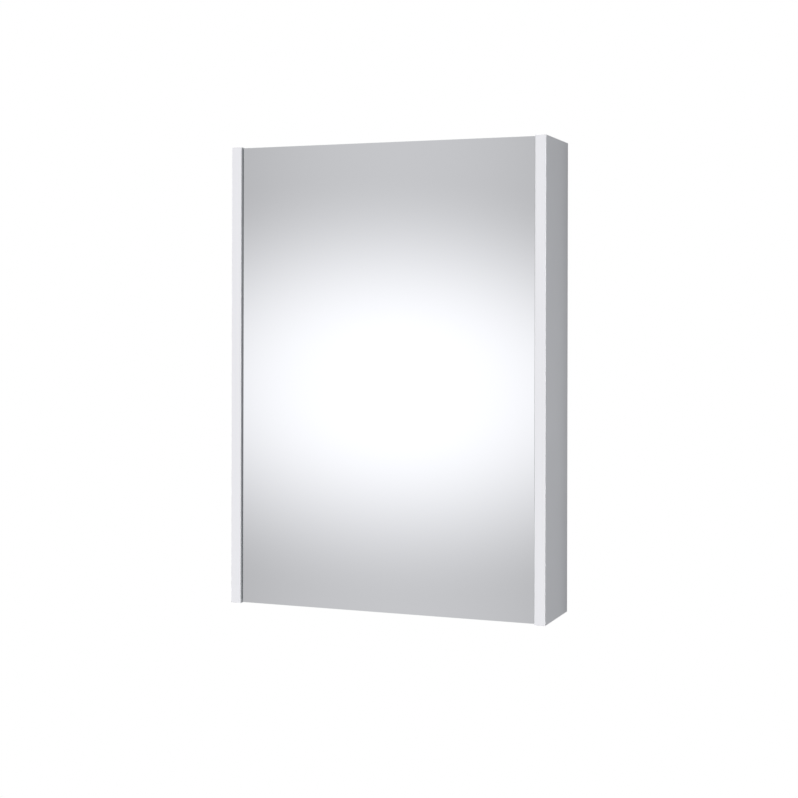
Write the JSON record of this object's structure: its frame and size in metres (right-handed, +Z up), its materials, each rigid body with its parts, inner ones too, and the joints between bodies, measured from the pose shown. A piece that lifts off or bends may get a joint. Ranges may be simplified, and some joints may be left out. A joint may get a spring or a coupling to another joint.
{
  "type": "mirror cabinet",
  "caption": "Wall-hung bathroom mirror cabinet with an inset mirrored door on concealed hinges and glass shelves inside.",
  "frame": {"origin": "middle of the suspension rail's back face, which lies on the wall", "axes": "+Z up, +Y into the wall, +X to the right seen from the front"},
  "size_m": [0.5, 0.12, 0.7],
  "materials": {
    "white_board": "white melamine, satin",
    "white_abs": "white ABS edging, satin",
    "back_board": "white coated hardboard",
    "door_board": "white melamine, satin",
    "beech": "turned and fluted beech",
    "zinc_steel": "zinc plated",
    "die_cast_zinc": "die-cast, nickel plated",
    "nickel_steel": "pressed, nickel plated",
    "white_plastic": "moulded, satin",
    "grey_plastic": "moulded, satin",
    "clear_glass": "toughened float glass, polished edges",
    "silvered_mirror": "silvered float glass, arrissed edges",
    "foam_tape": "closed-cell foam tape",
    "clear_rubber": "clear polyurethane"
  },
  "bodies": {
    "cabinet": {"side_panel_left": "white_board", "side_panel_right": "white_board", "top_panel": "white_board", "bottom_panel": "white_board", "side_edging_left": "white_abs", "side_edging_right": "white_abs", "panel_edging": "white_abs", "back_panel": "back_board", "wood_dowels": "beech", "cam_bolts": "zinc_steel", "hinge_plate_screws": "zinc_steel", "hinge_arm_screws": "zinc_steel", "hanger_adjusting_screws": "zinc_steel", "hanger_fixing_screws": "zinc_steel", "hanger_hook_left": "zinc_steel", "hanger_hook_right": "zinc_steel", "wall_rail": "zinc_steel", "cam_housings": "die_cast_zinc", "hinge_plate_upper": "die_cast_zinc", "hinge_plate_lower": "die_cast_zinc", "hinge_arm_upper": "nickel_steel", "hinge_arm_lower": "nickel_steel", "hinge_arm_pins": "nickel_steel", "shelf_pins": "nickel_steel", "cam_covers": "white_plastic", "hanger_box_left": "white_plastic", "hanger_box_right": "white_plastic", "hanger_cover_left": "white_plastic", "hanger_cover_right": "white_plastic", "arm_cover_upper": "grey_plastic", "arm_cover_lower": "grey_plastic", "shelf_upper": "clear_glass", "shelf_lower": "clear_glass"},
    "hinge_links": {"hinge_link_upper": "die_cast_zinc", "hinge_link_lower": "die_cast_zinc"},
    "door": {"door_panel": "door_board", "door_edging": "white_abs", "mirror_tape": "foam_tape", "mirror_glass": "silvered_mirror", "door_bumpers": "clear_rubber", "hinge_cup_upper": "nickel_steel", "hinge_cup_lower": "nickel_steel", "hinge_cup_pins": "nickel_steel", "hinge_cup_screws": "zinc_steel"}
  },
  "joints": [
    {"name": "link_swing", "type": "hinge", "parent": "cabinet", "child": "hinge_links", "pos_m": [-0.2027, -0.0769, -0.295], "axis": [0, 0, 1], "range_deg": [0, 60.2]},
    {"name": "door_swing", "type": "hinge", "parent": "hinge_links", "child": "door", "pos_m": [-0.2235, -0.098, -0.295], "axis": [0, 0, -1], "range_deg": [0, 155]}
  ],
  "couplings": [
    {"joint": "link_swing", "follows": "door_swing", "ratio": 0.3871}
  ]
}
